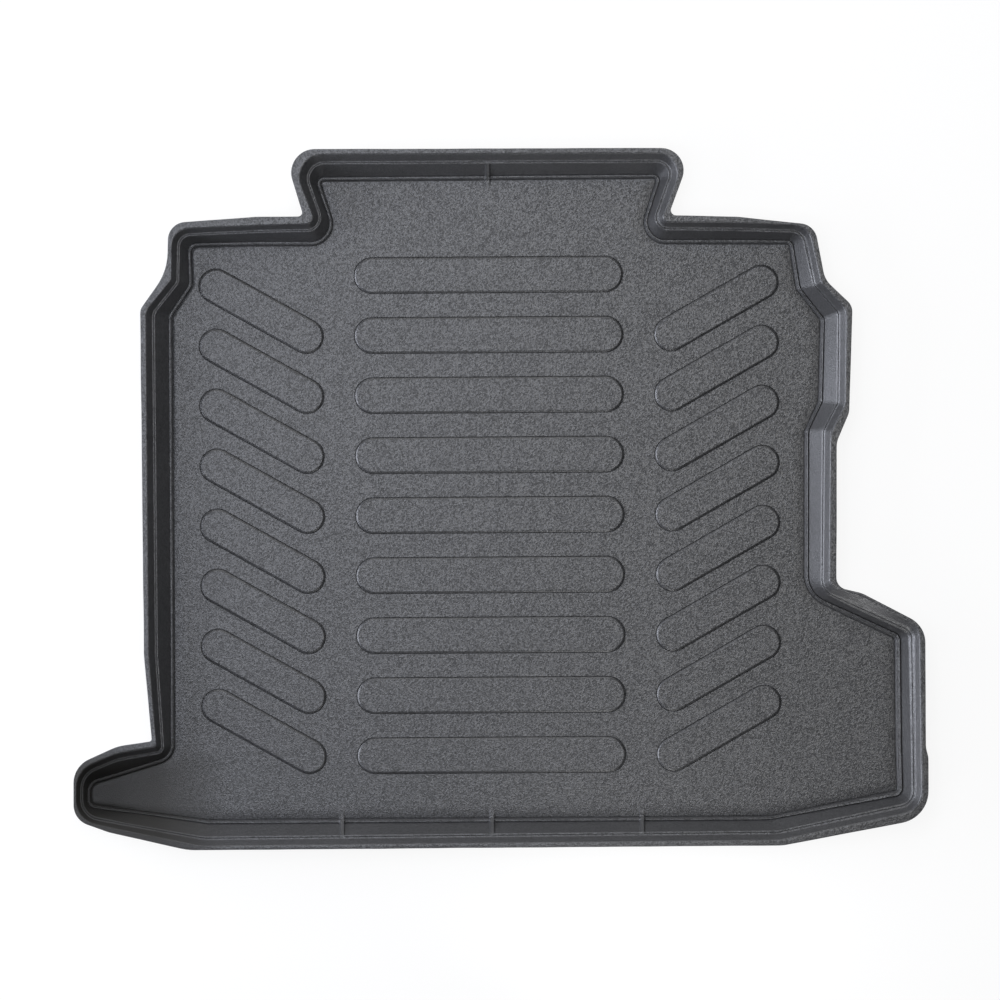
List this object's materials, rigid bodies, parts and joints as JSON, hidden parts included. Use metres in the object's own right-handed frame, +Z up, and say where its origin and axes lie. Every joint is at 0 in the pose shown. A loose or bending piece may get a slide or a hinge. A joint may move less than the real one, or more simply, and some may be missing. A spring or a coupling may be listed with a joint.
{
  "type": "car boot liner",
  "caption": "Shallow formed plastic tray that lines a car's boot floor, with a stepped rim that keeps in spills and raised bars that stop loads from sliding",
  "frame": {"origin": "middle of the liner's bounding box in plan, on the plane of the floor's underside", "axes": "+X to the car's right seen from behind, along the longest side; +Y forwards, towards the seats; +Z up"},
  "size_m": [1.283, 1.0508, 0.044],
  "materials": {
    "plastic": "fine matte grain, dark grey"
  },
  "bodies": {
    "root": {"boot_liner": "plastic"}
  },
  "joints": []
}
